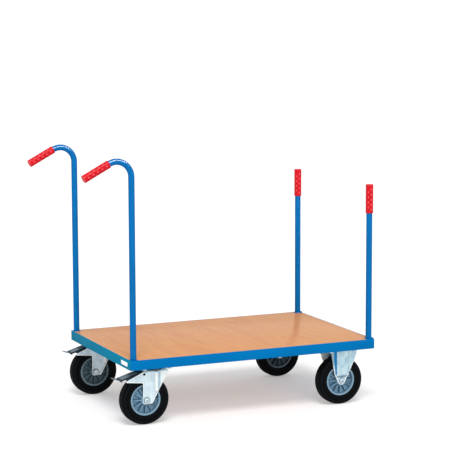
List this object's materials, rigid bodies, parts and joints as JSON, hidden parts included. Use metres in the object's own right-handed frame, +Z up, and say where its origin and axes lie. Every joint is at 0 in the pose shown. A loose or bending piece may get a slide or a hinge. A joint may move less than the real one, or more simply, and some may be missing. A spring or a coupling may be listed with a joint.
{
  "type": "stake cart",
  "caption": "Platform cart with a steel frame, flush wooden deck, two push bars, lift-out corner stakes, braked swivel casters and fixed casters.",
  "frame": {"origin": "centre of the bounding box's bottom face: on the floor, half way between the tips of the push grips and the stake end rail, and on the cart's centre plane", "axes": "+Z up, +X along the cart from the push bars to the stakes, +Y to the far side; the wheels stand on Z = 0"},
  "size_m": [1.2658, 0.71, 1.067],
  "materials": {
    "blue_paint": "powder coated blue, semi-gloss",
    "beech_board": "beech decor board, satin",
    "red_grip": "soft red plastic with dimples",
    "zinc": "bright zinc plated",
    "bright_steel": "ground steel",
    "tyre_rubber": "solid black rubber",
    "wheel_plastic": "moulded blue-grey plastic",
    "pedal_coating": "dark grey coated sheet",
    "shoe_rubber": "hard rubber",
    "white_label": "plain white, blank"
  },
  "bodies": {
    "cart_frame": {"near_long_rail": "blue_paint", "far_long_rail": "blue_paint", "push_end_rail": "blue_paint", "stake_end_rail": "blue_paint", "swivel_channel": "blue_paint", "middle_channel": "blue_paint", "fixed_channel": "blue_paint", "deck_board": "beech_board", "deck_screws": "zinc", "tube_sockets": "blue_paint", "near_push_bar": "blue_paint", "far_push_bar": "blue_paint", "near_push_grip": "red_grip", "far_push_grip": "red_grip", "clamp_screws": "zinc", "label_plate": "white_label", "caster_bolts": "zinc", "caster_washers": "zinc", "caster_nuts": "zinc", "near_swivel_plate": "zinc", "far_swivel_plate": "zinc", "king_pins": "bright_steel", "race_balls": "bright_steel", "near_fixed_bracket": "zinc", "far_fixed_bracket": "zinc", "fixed_axle_bolts": "zinc", "fixed_axle_nuts": "zinc", "fixed_axle_sleeves": "bright_steel"},
    "near_stake_set": {"near_stake": "blue_paint", "near_stake_grip": "red_grip"},
    "far_stake_set": {"far_stake": "blue_paint", "far_stake_grip": "red_grip"},
    "near_swivel": {"near_swivel_fork": "zinc", "near_axle_bolt": "zinc", "near_axle_nut": "zinc", "near_axle_sleeve": "bright_steel", "near_pedal_pin": "zinc"},
    "near_brake": {"near_brake_pedal": "pedal_coating", "near_brake_shoe": "shoe_rubber"},
    "near_swivel_wheel": {"near_swivel_tyre": "tyre_rubber", "near_swivel_rim": "wheel_plastic", "near_swivel_rollers": "bright_steel"},
    "far_swivel": {"far_swivel_fork": "zinc", "far_axle_bolt": "zinc", "far_axle_nut": "zinc", "far_axle_sleeve": "bright_steel", "far_pedal_pin": "zinc"},
    "far_brake": {"far_brake_pedal": "pedal_coating", "far_brake_shoe": "shoe_rubber"},
    "far_swivel_wheel": {"far_swivel_tyre": "tyre_rubber", "far_swivel_rim": "wheel_plastic", "far_swivel_rollers": "bright_steel"},
    "near_fixed_wheel": {"near_fixed_tyre": "tyre_rubber", "near_fixed_rim": "wheel_plastic", "near_fixed_rollers": "bright_steel"},
    "far_fixed_wheel": {"far_fixed_tyre": "tyre_rubber", "far_fixed_rim": "wheel_plastic", "far_fixed_rollers": "bright_steel"}
  },
  "joints": [
    {"name": "near_stake_lift", "type": "slide", "parent": "cart_frame", "child": "near_stake_set", "axis": [0, 0, 1], "range_m": [0, 0.06]},
    {"name": "far_stake_lift", "type": "slide", "parent": "cart_frame", "child": "far_stake_set", "axis": [0, 0, 1], "range_m": [0, 0.06]},
    {"name": "near_swivel_turn", "type": "hinge", "parent": "cart_frame", "child": "near_swivel", "pos_m": [-0.32907, -0.298, 0.22], "axis": [0, 0, 1], "continuous": true},
    {"name": "near_brake_press", "type": "hinge", "parent": "near_swivel", "child": "near_brake", "pos_m": [-0.38007, -0.298, 0.206], "axis": [0, -1, 0], "range_deg": [0, 7]},
    {"name": "near_swivel_wheel_spin", "type": "hinge", "parent": "near_swivel", "child": "near_swivel_wheel", "pos_m": [-0.37107, -0.298, 0.1], "axis": [0, 1, 0], "continuous": true},
    {"name": "far_swivel_turn", "type": "hinge", "parent": "cart_frame", "child": "far_swivel", "pos_m": [-0.32907, 0.298, 0.22], "axis": [0, 0, 1], "continuous": true},
    {"name": "far_brake_press", "type": "hinge", "parent": "far_swivel", "child": "far_brake", "pos_m": [-0.38007, 0.298, 0.206], "axis": [0, -1, 0], "range_deg": [0, 7]},
    {"name": "far_swivel_wheel_spin", "type": "hinge", "parent": "far_swivel", "child": "far_swivel_wheel", "pos_m": [-0.37107, 0.298, 0.1], "axis": [0, 1, 0], "continuous": true},
    {"name": "near_fixed_wheel_spin", "type": "hinge", "parent": "cart_frame", "child": "near_fixed_wheel", "pos_m": [0.49493, -0.298, 0.1], "axis": [0, 1, 0], "continuous": true},
    {"name": "far_fixed_wheel_spin", "type": "hinge", "parent": "cart_frame", "child": "far_fixed_wheel", "pos_m": [0.49493, 0.298, 0.1], "axis": [0, 1, 0], "continuous": true}
  ]
}
